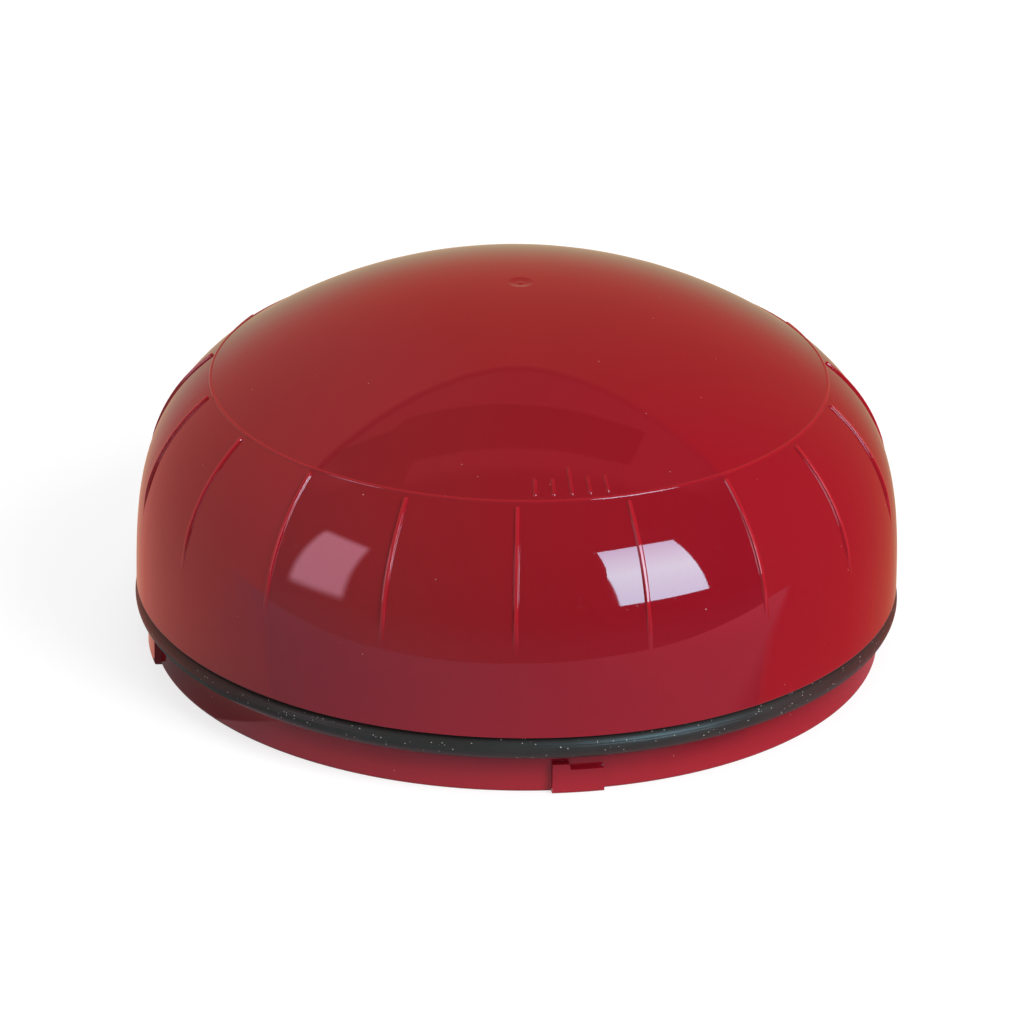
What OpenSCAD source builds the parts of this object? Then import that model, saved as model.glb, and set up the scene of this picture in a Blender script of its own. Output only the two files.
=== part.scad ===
// Fire alarm head that twist-locks into a wall base: a sealed red dome with its
// sealing ring and bayonet lugs, over a chassis that carries the contacts, the
// boards, the sounder capsule and the light source.
// Millimetres. +Z is the dome's axis, the origin is the centre of the rim's
// lower face, and the front of the dome is towards -Y.

/* [Dome] */
// Radius of the dome at its widest
dome_r = 55; // [54.6:0.1:57]
// Height of the crown above the rim's lower face
crown_z = 55.1; // [54:0.1:57]
// Radius of the ring line between shoulder and crown
ring_r = 44.2; // [43.5:0.1:45.5]
// Height of the ring line
ring_z = 40.5; // [39.5:0.1:41.5]
// Wall thickness of the dome
wall = 2.5; // [2:0.1:3]
// Number of raised ribs down the shoulder
rib_count = 18; // [6:1:24]
// Height of a rib above the shoulder
rib_h = 0.38; // [0.2:0.02:0.6]
// Width of a rib
rib_w = 0.8; // [0.5:0.05:1.2]

/* [Skirt and lugs] */
// Outer radius of the skirt that enters the wall base
skirt_r = 52.44; // [52.2:0.02:52.8]
// Inner radius of the skirt
bore_r = 49.9; // [49.8:0.05:50.1]
// Height of the dome's lower edge, which closes the seal groove
edge_z = 9.45; // [9.3:0.05:9.6]
// Section diameter of the sealing ring
seal_d = 3.5; // [3.3:0.05:3.6]
// Outer radius of the bayonet lugs
lug_r = 53.4; // [53:0.1:54]
// Height of the locking length of a lug
lug_h = 3.74; // [3:0.05:4]
// Height of the stop at the end of a lug
lug_stop_h = 4.6; // [4.2:0.05:5]
// Angle that a lug spans
lug_angle = 8; // [6:0.5:12]

/* [Chassis] */
// Outer radius of the chassis
chassis_r = 49.6; // [49.4:0.05:49.7]
// Height of the underside of the deck
deck_z = 5.5; // [5.3:0.1:5.7]
// Thickness of the deck
deck_t = 2; // [1.8:0.1:2.2]
// Radius on which the dome's screw posts stand
post_pcd_r = 45.4; // [45.2:0.1:45.5]
// Diameter of the dome's screws
dome_screw_d = 3; // [2.8:0.1:3]

/* [Boards] */
// Radius of the main board
board_r = 41.2; // [40.8:0.1:41.4]
// Height of the underside of the main board
board_z = 11.5; // [11.4:0.1:12]
// Thickness of both boards
board_t = 1.6; // [1.4:0.1:1.6]
// Radius of the light board
light_board_r = 26; // [25.5:0.1:27]
// Height of the underside of the light board
light_board_z = 30; // [29:0.5:31]
// Number of light-emitting diodes
led_count = 12; // [6:1:16]

/* [Sounder] */
// Outer radius of the sounder capsule
capsule_r = 16.5; // [16:0.1:17]
// Height of the top of the sounder capsule
capsule_top_z = 21; // [20:0.5:22]
// Radius of the sounder's diaphragm
diaphragm_r = 14.9; // [14:0.1:14.9]

/* [Hidden] */
$fn = 96;
EPS = 0.01;

// Dome outline
front = 270;                       // direction of the front, as an angle from +X
shoulder_power = 4.15;             // how late the shoulder turns in
straight_z = 3.9;                  // height at which the shoulder starts to turn in
shoulder_steps = 22;
cap_rise = crown_z - ring_z;
cap_r = (ring_r * ring_r + cap_rise * cap_rise) / (2 * cap_rise);
ring_bead_r = 0.28;
rib_low_z = 21;                    // where a rib has faded out
rib_full_z = 28;                   // where it has its full height
rib_top_z = ring_z - 0.45;
rib_root = 0.6;                    // how deep a rib's section starts in the wall
rib_steps = 10;
dimple_r = 1.8;
dimple_depth = 0.22;
dimple_sphere_r = (dimple_r * dimple_r + dimple_depth * dimple_depth) / (2 * dimple_depth);

// Seal and lugs
groove_low_z = 5.7;
rim_bevel = 0.3;
seal_z = 7.5;
seal_nip = 0.05;                   // how much smaller the ring's bore is than its groove
groove_r = 51.7;
seal_pitch_r = groove_r - seal_nip + seal_d / 2;
lug_count = 4;
lug_start = 5.74;                  // degrees from the front to the lug's stop end
lug_stop_angle = 2.7;

// Index marks on the crown
mark_count = 5;
mark_start = 3.2;
mark_pitch = 3.4;
mark_angle = 0.9;
mark_h = 0.16;
mark_outer_r = 43.6;
mark_short = 2.4;
mark_long = 3.8;

// Posts, screws and spacers
post_angles = [90, 210, 330];
post_radius = 3.6;
deck_top = deck_z + deck_t;
post_low_z = deck_top + 0.3;
post_hole_depth = 14;
rim_t = 2;
boss_r = 4;
boss_low_z = 1;
counterbore_r = 3.1;
counterbore_z = 3.6;
screw_clearance = 0.25;            // radial gap round a screw that passes through
dome_screw_length = 14;
stiffener_angles = [0, 60, 120, 180, 240, 300];
stiffener_h = 1.2;
stiffener_w = 1.2;
port_ring_r = 13.5;
pillar_angles = [30, 150, 270];
pillar_pcd_r = 36;
pillar_r = 3;
spacer_pcd_r = 22.5;
spacer_flats = 5;
small_screw_d = 2.5;
fit_gap = 0.04;                    // radial gap of a plain screw in its thread
board_top = board_z + board_t;
light_top = light_board_z + board_t;

// Contacts
blade_angles = [45, 135, 225, 315];
blade_pcd_r = 38.5;
blade_size = [9, 7, 0.6];
tail_r = 35;
tail_size = [0.6, 3, board_top + 0.8 - deck_z];
tail_slot = [1, 3.4];
rivet_r = 1.2;
rivet_head_r = 2;
rivet_head_h = 0.6;

// Sounder
ear_r = 20;
ear_t = 1.8;
ear_end_r = 2.8;
ear_boss_r = 2.6;
ear_boss_h = 1.1;
membrane_r = 12.5;
membrane_t = 0.3;
piezo_r = 10;
piezo_t = 0.3;
clamp_ring_w = 1.8;
clamp_ring_low_z = deck_top + 2;
capsule_wall = 1.2;
diaphragm_z = 14.7;
diaphragm_t = 0.3;
board_hole_r = 18.6;
port_r = 2;
port_pcd_r = 8.5;
port_count = 8;
lead_r = 0.55;
lead_bend_r = 2;
lead_angle = 60;
lead_gap = 2.6;
lead_start_r = 9;
lead_reach = 19;
lead_rise = 4;

// Light source
led_pcd_r = 21.5;
led_size = 3.5;
led_h = 0.9;
reflector_low_r = 7;
reflector_top_r = 19;
reflector_h = 10.4;
reflector_wall = 1.2;
reflector_steps = 14;

// Parts on the main board, as centres seen from above
capacitor_places = [[33, 5.5], [33, -4.5]];
capacitor_r = 4;
capacitor_h = 12;
inductor_place = [-33, -6];
inductor_base = [8, 8, 1];
inductor_r = 3.8;
inductor_h = 4.5;
transformer_place = [-13.5, 31.5];
flange_r = 4.5;
flange_t = 1.5;
core_r = 2;
core_h = 10.5;
winding_r = 4.1;
winding_gap = 0.05;
chip_place = [13, 31];
chip_size = [12.8, 7.5, 2.2];
driver_places = [[-34.5, 5], [-24, 29]];
driver_size = [5, 4, 1.5];
leg_pitch = 1.27;
leg_size = [0.4, 1.1, 0.3];
chip_lift = 0.15;
socket_place = [-25.5, 0];
socket_size = [5.5, 10, 6];
socket_pitch = 2.5;
socket_depth = 3;
upper_socket_x = socket_place[0] + 6;
resistor_size = [3.2, 1.6, 0.6];
resistor_pcd_r = 29.5;
resistor_start = -50;
resistor_pitch = 5.5;
resistor_count = 7;

// Tone switch and volume trimmer
tone_ways = 5;
tone_place = [14.5, -30];
tone_pitch = 2.54;
tone_case = [tone_ways * tone_pitch + 1.4, 6.2, 3.6];
tone_slot = [1.6, 3.4, 2];
tone_travel = 1.2;
tone_gap = 0.1;
trimmer_place = [-14.5, -30];
trimmer_case_size = [7, 7, 4];
trimmer_rotor_r = 2.6;

// Radius of the shoulder's outside at height z
function shoulder_r(z) =
    dome_r - (dome_r - ring_r)
        * pow(max(z - straight_z, 0) / (ring_z - straight_z), shoulder_power);

// How fast that radius changes with height
function shoulder_slope(z) =
    -(dome_r - ring_r) * shoulder_power / (ring_z - straight_z)
        * pow(max(z - straight_z, 0) / (ring_z - straight_z), shoulder_power - 1);

// Point of the shoulder at height z, moved outwards by d along its normal
function shoulder_point(z, d) =
    let (s = shoulder_slope(z), n = sqrt(1 + s * s))
    [shoulder_r(z) + d / n, z - d * s / n];

// Height of a rib at height z: it swells slowly and ends short of the ring line
function rib_rise(z) =
    rib_h * min(1, max(0, (z - rib_low_z) / (rib_full_z - rib_low_z)));

// Points every step from a to b, closer together towards b, where the curve is tight
function steps(a, b, n) = [for (i = [0:n]) a + (b - a) * (1 - pow(1 - i / n, 1.6))];

module at(angle, r) {
    rotate([0, 0, angle]) translate([r, 0, 0]) children();
}

module on(place, z) {
    translate([place[0], place[1], z]) children();
}

// A box that stands on z = 0 with its middle on the axis
module block(size) {
    translate([-size[0] / 2, -size[1] / 2, 0]) cube(size);
}

// Outline from the rim to the ring line, moved outwards by d and no wider than limit
module shoulder_outline(low, d, limit) {
    points = [for (z = steps(edge_z, ring_z, shoulder_steps)) shoulder_point(z, d)];
    last = points[len(points) - 1];
    polygon(concat(
        [[0, low], [limit, low]],
        [for (p = points) [min(p[0], limit), p[1]]],
        [[last[0], 2 * crown_z], [0, 2 * crown_z]]));
}

module crown_outline(d) {
    translate([0, crown_z - cap_r]) circle(r = cap_r + d, $fn = 256);
}

module outer_outline() {
    shoulder = [for (z = steps(edge_z, ring_z, shoulder_steps)) shoulder_point(z, 0)];
    polygon(concat(
        [[0, 0], [skirt_r - rim_bevel, 0], [skirt_r, rim_bevel], [skirt_r, groove_low_z],
         [groove_r, groove_low_z], [groove_r, edge_z]],
        shoulder,
        [[ring_r, 2 * crown_z], [0, 2 * crown_z]]));
}

module dome_wall() {
    rotate_extrude() {
        difference() {
            union() {
                intersection() {
                    outer_outline();
                    crown_outline(0);
                }
                translate([ring_r, ring_z]) circle(r = ring_bead_r);
            }
            intersection() {
                shoulder_outline(-1, -wall, bore_r);
                crown_outline(-wall);
            }
        }
    }
}

// The space inside the dome's wall, reaching half way into the wall
module dome_core() {
    rotate_extrude() intersection() {
        shoulder_outline(post_low_z, -wall / 2, bore_r + wall / 2);
        crown_outline(-wall / 2);
    }
}

module rib() {
    span = rib_w / shoulder_r(ring_z - 5) * 180 / PI;
    heights = [for (i = [0:rib_steps]) rib_low_z + (rib_top_z - rib_low_z) * i / rib_steps];
    rotate([0, 0, -span / 2]) rotate_extrude(angle = span)
        polygon(concat(
            [for (z = heights) shoulder_point(z, rib_rise(z))],
            [shoulder_point(rib_top_z + 0.25, rib_h * 0.6)],
            [for (i = [rib_steps:-1:0]) shoulder_point(heights[i], -rib_root)]));
}

module lug() {
    rotate_extrude(angle = lug_angle)
        translate([skirt_r - 0.5, 0]) square([lug_r - skirt_r + 0.5, lug_h]);
    rotate_extrude(angle = lug_stop_angle)
        translate([skirt_r - 0.5, 0]) square([lug_r - skirt_r + 0.5, lug_stop_h]);
}

module index_mark(length) {
    rotate([0, 0, -mark_angle / 2]) rotate_extrude(angle = mark_angle)
        intersection() {
            difference() {
                crown_outline(mark_h);
                crown_outline(-0.4);
            }
            translate([mark_outer_r - length, ring_z - 5]) square([length, 20]);
        }
}

module dome() {
    color("firebrick") difference() {
        union() {
            dome_wall();
            for (i = [0:rib_count - 1])
                rotate([0, 0, front + i * 360 / rib_count]) rib();
            for (i = [0:lug_count - 1])
                rotate([0, 0, front + lug_start + i * 360 / lug_count]) lug();
            for (i = [0:mark_count - 1])
                rotate([0, 0, front + mark_start + i * mark_pitch])
                    index_mark(i == floor(mark_count / 2) ? mark_long : mark_short);
            intersection() {
                dome_core();
                for (a = post_angles) at(a, post_pcd_r) {
                    cylinder(r = post_radius, h = crown_z);
                    translate([0, -1, 0]) cube([bore_r - post_pcd_r + 1, 2, crown_z]);
                }
            }
        }
        translate([0, 0, crown_z + dimple_sphere_r - dimple_depth]) sphere(r = dimple_sphere_r);
        for (a = post_angles) at(a, post_pcd_r) translate([0, 0, post_low_z - 1])
            cylinder(r = dome_screw_d / 2 + fit_gap, h = post_hole_depth + 1);
    }
}

module sealing_ring() {
    color("dimgray") rotate_extrude()
        translate([seal_pitch_r, seal_z]) circle(r = seal_d / 2, $fn = 48);
}

// Slot for a contact's tail through a plate that starts at height z
module tail_opening(z, thickness) {
    translate([-tail_slot[0] / 2, -tail_slot[1] / 2, z - 1])
        cube([tail_slot[0], tail_slot[1], thickness + 2]);
}

module chassis() {
    color("ivory") difference() {
        union() {
            difference() {
                cylinder(r = chassis_r, h = deck_top);
                translate([0, 0, -1]) cylinder(r = chassis_r - rim_t, h = deck_z + 1);
            }
            intersection() {
                cylinder(r = chassis_r - EPS, h = deck_top);
                for (a = post_angles) at(a, post_pcd_r) translate([0, 0, boss_low_z])
                    cylinder(r = boss_r, h = deck_z);
            }
            for (a = pillar_angles) at(a, pillar_pcd_r) translate([0, 0, deck_z + 1])
                cylinder(r = pillar_r, h = board_z - deck_z - 1);
            for (a = [0, 180]) at(a, ear_r) translate([0, 0, deck_z - ear_boss_h])
                cylinder(r = ear_boss_r, h = ear_boss_h + 1);
            for (a = stiffener_angles) at(a, port_ring_r)
                translate([0, -stiffener_w / 2, deck_z - stiffener_h])
                    cube([chassis_r - rim_t / 2 - port_ring_r, stiffener_w, stiffener_h + 1]);
            translate([0, 0, deck_z - stiffener_h]) difference() {
                cylinder(r = port_ring_r + stiffener_w / 2, h = stiffener_h + 1);
                translate([0, 0, -1])
                    cylinder(r = port_ring_r - stiffener_w / 2, h = stiffener_h + 1);
            }
        }
        for (a = post_angles) at(a, post_pcd_r) {
            cylinder(r = dome_screw_d / 2 + screw_clearance, h = deck_top + 1);
            cylinder(r = counterbore_r, h = counterbore_z);
        }
        for (a = pillar_angles) at(a, pillar_pcd_r) translate([0, 0, deck_z + 0.8])
            cylinder(r = small_screw_d / 2 + fit_gap, h = board_z);
        for (a = [0, 180]) at(a, ear_r) translate([0, 0, deck_z - 0.5])
            cylinder(r = small_screw_d / 2 + fit_gap, h = deck_t + 1);
        for (i = [0:port_count - 1]) at(i * 360 / port_count, port_pcd_r)
            translate([0, 0, deck_z - 1]) cylinder(r = port_r, h = deck_t + 2);
        for (a = blade_angles) {
            at(a, tail_r) tail_opening(deck_z, deck_t);
            at(a, blade_pcd_r) translate([0, 0, deck_z - 1])
                cylinder(r = rivet_r + fit_gap, h = deck_t + 2);
        }
    }
}

// A pan-head screw with its head's underside at z = 0 and its shank down -Z
module pan_screw(d, length) {
    difference() {
        union() {
            translate([0, 0, -length]) cylinder(d = d, h = length + 0.1, $fn = 32);
            cylinder(d = 1.9 * d, h = 0.55 * d, $fn = 48);
        }
        for (a = [0, 90]) rotate([0, 0, a]) translate([-0.55 * d, -0.13 * d, 0.3 * d])
            cube([1.1 * d, 0.26 * d, d]);
    }
}

module dome_screws() {
    color("silver") for (a = post_angles) at(a, post_pcd_r)
        translate([0, 0, counterbore_z]) mirror([0, 0, 1])
            pan_screw(dome_screw_d, dome_screw_length);
}

module contact_blades() {
    color("goldenrod") for (a = blade_angles) {
        difference() {
            union() {
                at(a, blade_pcd_r) translate([0, 0, deck_z - blade_size[2]])
                    block(blade_size);
                at(a, tail_r) translate([0, 0, deck_z - EPS]) block(tail_size);
            }
            at(a, blade_pcd_r) translate([0, 0, deck_z - 2])
                cylinder(r = rivet_r + fit_gap, h = 4);
        }
    }
}

module contact_rivets() {
    color("silver") for (a = blade_angles) at(a, blade_pcd_r) {
        translate([0, 0, deck_z - blade_size[2] - rivet_head_h])
            cylinder(r = rivet_head_r, h = rivet_head_h);
        translate([0, 0, deck_z - blade_size[2] - EPS])
            cylinder(r = rivet_r, h = deck_t + blade_size[2] + 2 * EPS);
        translate([0, 0, deck_top]) cylinder(r = rivet_head_r, h = rivet_head_h);
    }
}

module main_board() {
    color("seagreen") difference() {
        translate([0, 0, board_z]) cylinder(r = board_r, h = board_t);
        translate([0, 0, board_z - 1]) cylinder(r = board_hole_r, h = board_t + 2);
        for (a = pillar_angles) at(a, pillar_pcd_r) translate([0, 0, board_z - 1])
            cylinder(d = small_screw_d + 0.2, h = board_t + 2);
        for (a = post_angles) at(a, spacer_pcd_r) translate([0, 0, board_z - 1])
            cylinder(d = dome_screw_d + 0.2, h = board_t + 2);
        for (a = blade_angles) at(a, tail_r) tail_opening(board_z, board_t);
    }
}

module board_screws() {
    color("silver") for (a = pillar_angles) at(a, pillar_pcd_r)
        translate([0, 0, board_top]) pan_screw(small_screw_d, 6);
}

module sound_membrane() {
    color("whitesmoke") translate([0, 0, deck_top]) cylinder(r = membrane_r, h = membrane_t);
}

module sounder_case() {
    color("dimgray") difference() {
        union() {
            translate([0, 0, deck_top]) cylinder(r = capsule_r, h = capsule_top_z - deck_top);
            for (a = [0, 180]) at(a, ear_r) translate([0, 0, deck_top]) {
                cylinder(r = ear_end_r, h = ear_t);
                translate([-6, -ear_end_r, 0]) cube([6, 2 * ear_end_r, ear_t]);
            }
        }
        translate([0, 0, deck_top - 1])
            cylinder(r = diaphragm_r + 0.1, h = diaphragm_z + diaphragm_t + 1 - deck_top);
        translate([0, 0, deck_top])
            cylinder(r = diaphragm_r - clamp_ring_w, h = capsule_top_z - capsule_wall - deck_top);
        for (a = [0, 180]) at(a, ear_r) translate([0, 0, deck_top - 1])
            cylinder(d = small_screw_d + 0.3, h = ear_t + 2);
        rotate([0, 0, lead_angle]) for (side = [-1, 1])
            translate([lead_start_r, side * lead_gap / 2, capsule_top_z - 2])
                cylinder(r = lead_r + fit_gap, h = 4, $fn = 32);
    }
}

module sounder_diaphragm() {
    color("gold") translate([0, 0, diaphragm_z]) cylinder(r = diaphragm_r, h = diaphragm_t);
}

module piezo_disc() {
    color("linen") translate([0, 0, diaphragm_z + diaphragm_t]) cylinder(r = piezo_r, h = piezo_t);
}

module sounder_clamp_ring() {
    color("dimgray") difference() {
        translate([0, 0, clamp_ring_low_z])
            cylinder(r = diaphragm_r, h = diaphragm_z - clamp_ring_low_z);
        cylinder(r = diaphragm_r - clamp_ring_w, h = diaphragm_z + 1);
    }
}

module sounder_screws() {
    color("silver") for (a = [0, 180]) at(a, ear_r)
        translate([0, 0, deck_top + ear_t]) pan_screw(small_screw_d, 4);
}

// A length of straight wire up from the origin
module straight_wire(length) {
    cylinder(r = lead_r, h = length, $fn = 32);
}

// A quarter turn of wire in the XZ plane round the origin, from -X up to +Z
module wire_bend() {
    rotate([90, 0, 0]) rotate([0, 0, 90]) rotate_extrude(angle = 90)
        translate([lead_bend_r, 0]) circle(r = lead_r, $fn = 32);
}

// A wire that rises from [0, 0, low], turns over at height top and comes down at x = reach
module bridge_wire(low, top, reach, foot) {
    bend = lead_bend_r;
    translate([0, 0, low]) straight_wire(top - bend - low);
    translate([bend, 0, top - bend]) wire_bend();
    translate([bend, 0, top]) rotate([0, 90, 0]) straight_wire(reach - 2 * bend);
    translate([reach - bend, 0, top - bend]) mirror([1, 0, 0]) wire_bend();
    translate([reach, 0, foot]) straight_wire(top - bend - foot);
}

module sounder_leads() {
    color("crimson") rotate([0, 0, lead_angle]) for (side = [-1, 1])
        translate([lead_start_r, side * lead_gap / 2, 0])
            bridge_wire(diaphragm_z + diaphragm_t + piezo_t, capsule_top_z + lead_rise,
                        lead_reach, board_top);
}

module light_spacers() {
    color("gainsboro") for (a = post_angles) at(a, spacer_pcd_r) {
        translate([0, 0, board_top]) difference() {
            cylinder(d = spacer_flats / cos(30), h = light_board_z - board_top, $fn = 6);
            translate([0, 0, light_board_z - board_top - 7])
                cylinder(r = dome_screw_d / 2 + fit_gap, h = 8);
        }
        translate([0, 0, board_z - 2.6]) cylinder(d = dome_screw_d, h = board_t + 2.7);
    }
}

module spacer_nuts() {
    color("silver") for (a = post_angles) at(a, spacer_pcd_r)
        translate([0, 0, board_z - 2.4]) difference() {
            cylinder(d = 5.5 / cos(30), h = 2.4, $fn = 6);
            translate([0, 0, -1]) cylinder(r = dome_screw_d / 2 + fit_gap, h = 5);
        }
}

module light_board() {
    color("white") difference() {
        translate([0, 0, light_board_z]) cylinder(r = light_board_r, h = board_t);
        for (a = post_angles) at(a, spacer_pcd_r) translate([0, 0, light_board_z - 1])
            cylinder(d = dome_screw_d + 0.2, h = board_t + 2);
        translate([0, 0, light_board_z - 1])
            cylinder(r = small_screw_d / 2 + fit_gap, h = board_t + 2);
    }
}

module light_board_screws() {
    color("silver") for (a = post_angles) at(a, spacer_pcd_r)
        translate([0, 0, light_top]) pan_screw(dome_screw_d, 6);
}

// Directions of the diodes, half a step clear of the board's screws
function led_angle(i) = 90 + (i + 0.5) * 360 / led_count;

module led_packages() {
    color("khaki") for (i = [0:led_count - 1]) at(led_angle(i), led_pcd_r)
        translate([0, 0, light_top]) block([led_size, led_size, led_h]);
}

module led_lenses() {
    color("lightyellow") for (i = [0:led_count - 1]) at(led_angle(i), led_pcd_r)
        translate([0, 0, light_top + led_h]) difference() {
            sphere(r = 1.4, $fn = 48);
            translate([-2, -2, -4]) cube([4, 4, 4]);
        }
}

// Radius of the reflector's outside a fraction t of the way up
function flare(t) =
    reflector_low_r + (reflector_top_r - reflector_low_r) * (1 - sqrt(1 - pow(t, 2.2)) * 0.98);

module reflector() {
    heights = [for (i = [0:reflector_steps]) i / reflector_steps];
    color("gainsboro") difference() {
        translate([0, 0, light_top]) rotate_extrude() polygon(concat(
            [[0, 0]],
            [for (t = heights) [flare(t), t * reflector_h]],
            [for (i = [reflector_steps:-1:2])
                [flare(heights[i]) - reflector_wall, heights[i] * reflector_h]],
            [[0, heights[2] * reflector_h]]));
        translate([0, 0, light_top - 1]) cylinder(d = small_screw_d + 0.3, h = 6);
    }
}

module reflector_screw() {
    color("silver") translate([0, 0, light_top + 2 * reflector_h / reflector_steps])
        pan_screw(small_screw_d, 3);
}

module link_sockets() {
    color("ivory") {
        difference() {
            on(socket_place, board_top) block(socket_size);
            for (i = [-1:1]) on(socket_place, board_top + socket_size[2] - socket_depth - 1)
                translate([0, i * socket_pitch, 0])
                    cylinder(r = lead_r + fit_gap, h = socket_size[2], $fn = 32);
        }
        difference() {
            translate([upper_socket_x, -socket_size[1] / 2, light_board_z - socket_size[0]])
                cube([socket_size[0], socket_size[1], socket_size[0]]);
            for (i = [-1:1])
                translate([upper_socket_x - 1, i * socket_pitch, light_board_z - socket_depth])
                    rotate([0, 90, 0]) cylinder(r = lead_r + fit_gap, h = socket_depth + 1, $fn = 32);
        }
    }
}

module link_wires() {
    bend = lead_bend_r;
    foot = board_top + socket_size[2] - socket_depth - 1;
    level = light_board_z - socket_depth;
    color("navy") for (i = [-1:1]) on(socket_place, 0) translate([0, i * socket_pitch, 0]) {
        translate([0, 0, foot]) straight_wire(level - bend - foot);
        translate([bend, 0, level - bend]) wire_bend();
        translate([bend, 0, level]) rotate([0, 90, 0]) straight_wire(7 - bend);
    }
}

module filter_capacitors() {
    color("midnightblue") for (p = capacitor_places) on(p, board_top) {
        cylinder(r = capacitor_r, h = capacitor_h);
        cylinder(r = capacitor_r + 0.2, h = 1);
    }
}

module boost_inductor() {
    color("dimgray") on(inductor_place, board_top) {
        block(inductor_base);
        cylinder(r = inductor_r, h = inductor_h);
    }
}

module transformer_core() {
    color("dimgray") on(transformer_place, board_top) {
        cylinder(r = flange_r, h = flange_t);
        cylinder(r = core_r, h = core_h);
        translate([0, 0, core_h - flange_t]) cylinder(r = flange_r, h = flange_t);
    }
}

module transformer_winding() {
    winding_h = core_h - 2 * flange_t - 2 * winding_gap;
    color("chocolate") on(transformer_place, board_top + flange_t + winding_gap) difference() {
        cylinder(r = winding_r, h = winding_h);
        translate([0, 0, -1]) cylinder(r = core_r + winding_gap, h = core_h);
    }
}

// A moulded chip with its row of legs down both long sides
module chip(size) {
    last = floor(size[0] / leg_pitch) - 1;
    translate([0, 0, chip_lift]) block(size);
    for (side = [-1, 1]) for (i = [0:last])
        translate([(i - last / 2) * leg_pitch, side * (size[1] / 2 + 0.45), 0]) block(leg_size);
}

module microcontroller() {
    color("black") on(chip_place, board_top) chip(chip_size);
}

module driver_chips() {
    color("black") for (p = driver_places) on(p, board_top) chip(driver_size);
}

module chip_resistors() {
    color("darkslategray") for (i = [0:resistor_count - 1])
        at(resistor_start + i * resistor_pitch, resistor_pcd_r - 2 * (i % 2))
            translate([0, 0, board_top]) block(resistor_size);
}

// Centre of slot i of the tone switch, counted from 1
function tone_x(i) = tone_place[0] + (i - (tone_ways + 1) / 2) * tone_pitch;

module tone_switch_case() {
    color("mediumblue") difference() {
        on(tone_place, board_top) block(tone_case);
        for (i = [1:tone_ways])
            translate([tone_x(i) - tone_slot[0] / 2, tone_place[1] - tone_slot[1] / 2,
                       board_top + tone_case[2] - tone_slot[2]]) cube([tone_slot[0], tone_slot[1], 5]);
    }
}

module tone_slider(i) {
    size = [tone_slot[0] - 2 * tone_gap, tone_slot[1] - tone_travel - 2 * tone_gap,
            tone_slot[2] + 0.5];
    color("white") translate([tone_x(i) - size[0] / 2, tone_place[1] - tone_slot[1] / 2 + tone_gap,
                              board_top + tone_case[2] - tone_slot[2] + 0.02]) cube(size);
}

module tone_slider_1() { tone_slider(1); }
module tone_slider_2() { tone_slider(2); }
module tone_slider_3() { tone_slider(3); }
module tone_slider_4() { tone_slider(4); }
module tone_slider_5() { tone_slider(5); }

module volume_trimmer_case() {
    color("steelblue") difference() {
        on(trimmer_place, board_top) block(trimmer_case_size);
        on(trimmer_place, board_top + 1) cylinder(r = trimmer_rotor_r + 0.05, h = trimmer_case_size[2]);
    }
}

module volume_trimmer_rotor() {
    color("white") on(trimmer_place, board_top + 1.02) difference() {
        cylinder(r = trimmer_rotor_r, h = trimmer_case_size[2] - 1 + 0.4);
        translate([-2, -0.35, 2.2]) cube([4, 0.7, 3]);
    }
}

dome();
sealing_ring();
chassis();
dome_screws();
contact_blades();
contact_rivets();
main_board();
board_screws();
sound_membrane();
sounder_case();
sounder_diaphragm();
piezo_disc();
sounder_clamp_ring();
sounder_screws();
sounder_leads();
light_spacers();
spacer_nuts();
light_board();
light_board_screws();
led_packages();
led_lenses();
reflector();
reflector_screw();
link_sockets();
link_wires();
filter_capacitors();
boost_inductor();
transformer_core();
transformer_winding();
microcontroller();
driver_chips();
chip_resistors();
tone_switch_case();
tone_slider_1();
tone_slider_2();
tone_slider_3();
tone_slider_4();
tone_slider_5();
volume_trimmer_case();
volume_trimmer_rotor();
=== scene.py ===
"""Looks of a red fire alarm head: domed cover, sealing ring, and everything behind it."""
import math

import bpy
import numpy as np
from mathutils import Matrix, Vector


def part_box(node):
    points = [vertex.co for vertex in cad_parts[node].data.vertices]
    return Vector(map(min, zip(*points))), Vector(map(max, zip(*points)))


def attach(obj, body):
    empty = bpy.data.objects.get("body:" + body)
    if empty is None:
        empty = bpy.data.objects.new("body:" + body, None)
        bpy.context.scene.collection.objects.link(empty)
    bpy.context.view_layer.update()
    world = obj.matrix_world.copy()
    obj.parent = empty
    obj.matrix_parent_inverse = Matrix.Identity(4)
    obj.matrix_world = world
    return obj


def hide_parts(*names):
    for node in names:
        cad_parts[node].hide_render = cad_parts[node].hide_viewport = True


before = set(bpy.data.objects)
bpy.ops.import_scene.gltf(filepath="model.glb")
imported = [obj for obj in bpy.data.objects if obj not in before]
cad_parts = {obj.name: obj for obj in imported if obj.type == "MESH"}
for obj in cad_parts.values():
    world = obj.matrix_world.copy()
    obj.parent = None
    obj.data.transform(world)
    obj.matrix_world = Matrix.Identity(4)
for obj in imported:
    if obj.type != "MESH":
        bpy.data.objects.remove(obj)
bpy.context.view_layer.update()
MM = 0.001


# ---------------------------------------------------------------- shader writing

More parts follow.
